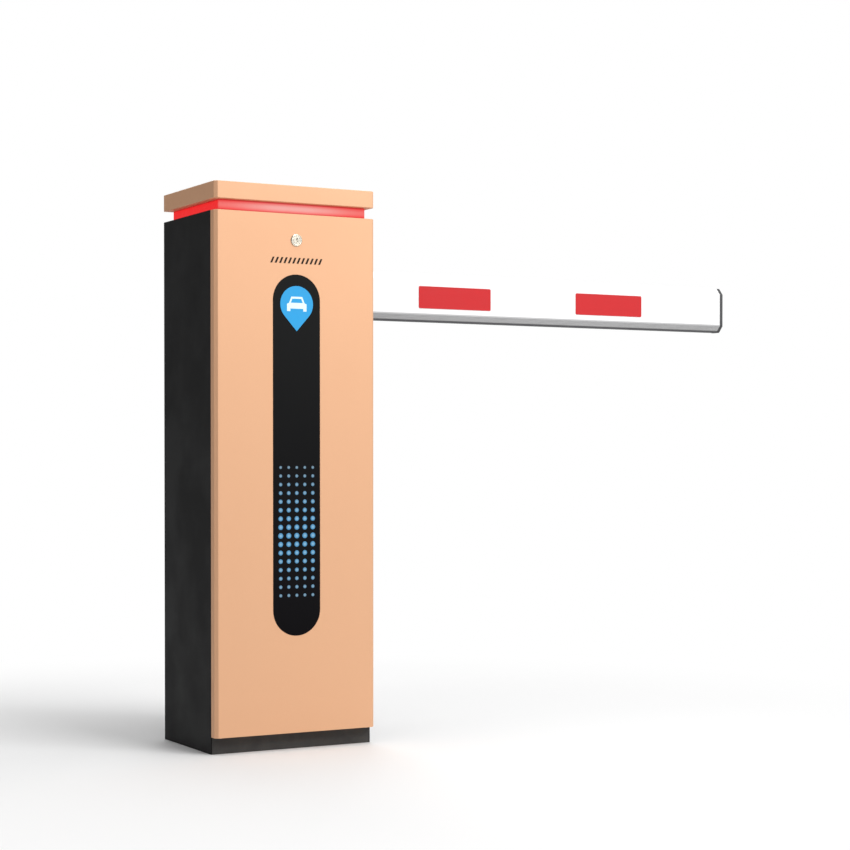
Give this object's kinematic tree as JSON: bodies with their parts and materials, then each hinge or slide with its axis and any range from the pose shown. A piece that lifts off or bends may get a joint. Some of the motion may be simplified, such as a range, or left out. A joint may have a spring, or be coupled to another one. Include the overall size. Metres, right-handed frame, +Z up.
{
  "type": "parking barrier gate",
  "caption": "Slim cabinet barrier gate with tilt-out door, lit display inlay, red light band and an octagonal boom raised by a worm drive, crank linkage and balance spring.",
  "frame": {"origin": "centre of the four anchor holes on the underside of the base plate", "axes": "+Z up, -Y towards the front (door), +X along the level boom towards its tip"},
  "size_m": [1.373, 0.3445, 1.05],
  "materials": {
    "black_paint": "fine textured powder coat",
    "rose_gold_paint": "satin metallic powder coat",
    "dark_steel": "primed and painted plate",
    "red_diffuser": "translucent diffuser",
    "bare_aluminium": "mill finish",
    "white_board": "printed board",
    "green_board": "printed board",
    "zinc_steel": "zinc plated",
    "bearing_steel": "ground",
    "spring_steel": "oiled spring wire",
    "cast_grey": "cast and painted",
    "motor_grey": "cast fins",
    "bronze": "hobbed bronze",
    "black_rubber": "matt",
    "grey_rubber": "matt foam rubber",
    "black_acrylic": "polished acrylic",
    "blue_print": "printed film",
    "white_print": "printed film",
    "dark_print": "printed film",
    "light_dots": "lit lens",
    "chrome_lock": "polished",
    "white_boom": "gloss white coat on aluminium",
    "red_reflector": "retroreflective film",
    "black_plastic": "moulded",
    "grey_plastic": "moulded",
    "beige_plastic": "moulded",
    "yellow_plastic": "moulded"
  },
  "bodies": {
    "cabinet": {"base_plate": "dark_steel", "left_side_panel": "black_paint", "right_side_panel": "black_paint", "rear_panel": "black_paint", "plinth_panel": "black_paint", "door_surround": "black_paint", "top_plate": "black_paint", "light_band": "red_diffuser", "led_channel": "bare_aluminium", "led_strips": "white_board", "hood": "rose_gold_paint", "hood_posts": "zinc_steel", "hinge_brackets": "zinc_steel", "door_gasket": "black_rubber", "machine_plate": "zinc_steel", "plate_spacers": "zinc_steel", "bearing_housing": "cast_grey", "shaft_bearings": "bearing_steel", "housing_bolts": "zinc_steel", "shaft_seal": "black_rubber", "gearbox_housing": "cast_grey", "gearbox_cover": "cast_grey", "motor_housing": "motor_grey", "crank_stops": "black_rubber", "balance_spring": "spring_steel", "spring_anchor": "zinc_steel", "din_rail": "zinc_steel", "terminal_blocks": "beige_plastic", "breaker": "grey_plastic", "controller_box": "grey_plastic"},
    "door": {"door_pan": "rose_gold_paint", "hinge_pins": "zinc_steel", "door_stiffeners": "zinc_steel", "inlay_panel": "black_acrylic", "display_board": "green_board", "map_pin_badge": "blue_print", "pin_symbol": "white_print", "dot_lenses": "light_dots", "legend_marks": "dark_print", "lock_body": "chrome_lock"},
    "lock_barrel": {"lock_plug": "chrome_lock", "lock_cam": "zinc_steel"},
    "boom": {"main_shaft": "bearing_steel", "shaft_lever": "zinc_steel", "quadrant": "cast_grey", "boom_tube": "white_boom", "bumper_strip": "grey_rubber", "boom_caps": "black_plastic", "reflectors": "red_reflector", "clamp_plate": "zinc_steel", "boom_bolts": "zinc_steel"},
    "crank": {"output_shaft": "bearing_steel", "crank_arm": "zinc_steel", "worm_wheel": "bronze"},
    "link_rod": {"connecting_rod": "zinc_steel"},
    "rotor": {"worm_shaft": "bearing_steel", "handwheel": "yellow_plastic"},
    "spring_carrier": {"spring_hook": "zinc_steel", "balance_rope": "bearing_steel"},
    "switch": {"breaker_lever": "black_plastic"}
  },
  "joints": [
    {"name": "boom_swing", "type": "hinge", "parent": "cabinet", "child": "boom", "pos_m": [0, 0.1, 0.8785], "axis": [0, -1, 0], "range_deg": [0, 90]},
    {"name": "crank_turn", "type": "hinge", "parent": "cabinet", "child": "crank", "pos_m": [0, 0.04, 0.56], "axis": [0, -1, 0], "range_deg": [0, 90]},
    {"name": "rod_swing", "type": "hinge", "parent": "crank", "child": "link_rod", "pos_m": [-0.04243, -0.019, 0.60243], "axis": [0, -1, 0], "range_deg": [-90, 0]},
    {"name": "motor_turn", "type": "hinge", "parent": "cabinet", "child": "rotor", "pos_m": [0.0513, 0.04, 0.56], "axis": [0, 0, 1], "range_deg": [0, 3600]},
    {"name": "hook_slide", "type": "slide", "parent": "cabinet", "child": "spring_carrier", "axis": [0, 0, -1], "range_m": [0, 0.14923], "deforming": ["balance_spring", "balance_rope"]},
    {"name": "door_tilt", "type": "hinge", "parent": "cabinet", "child": "door", "pos_m": [0, -0.125, 0.0335], "axis": [1, 0, 0], "range_deg": [0, 80]},
    {"name": "lock_turn", "type": "hinge", "parent": "door", "child": "lock_barrel", "pos_m": [0, -0.12, 0.949], "axis": [0, 1, 0], "range_deg": [0, 90]},
    {"name": "breaker_toggle", "type": "hinge", "parent": "cabinet", "child": "switch", "pos_m": [0.038, 0.0145, 0.305], "axis": [1, 0, 0], "range_deg": [0, 40]}
  ],
  "couplings": [
    {"joint": "crank_turn", "follows": "boom_swing", "ratio": 1},
    {"joint": "rod_swing", "follows": "boom_swing", "ratio": -1},
    {"joint": "motor_turn", "follows": "boom_swing", "ratio": 40},
    {"joint": "hook_slide", "follows": "boom_swing", "m_per_rad": 0.095}
  ]
}
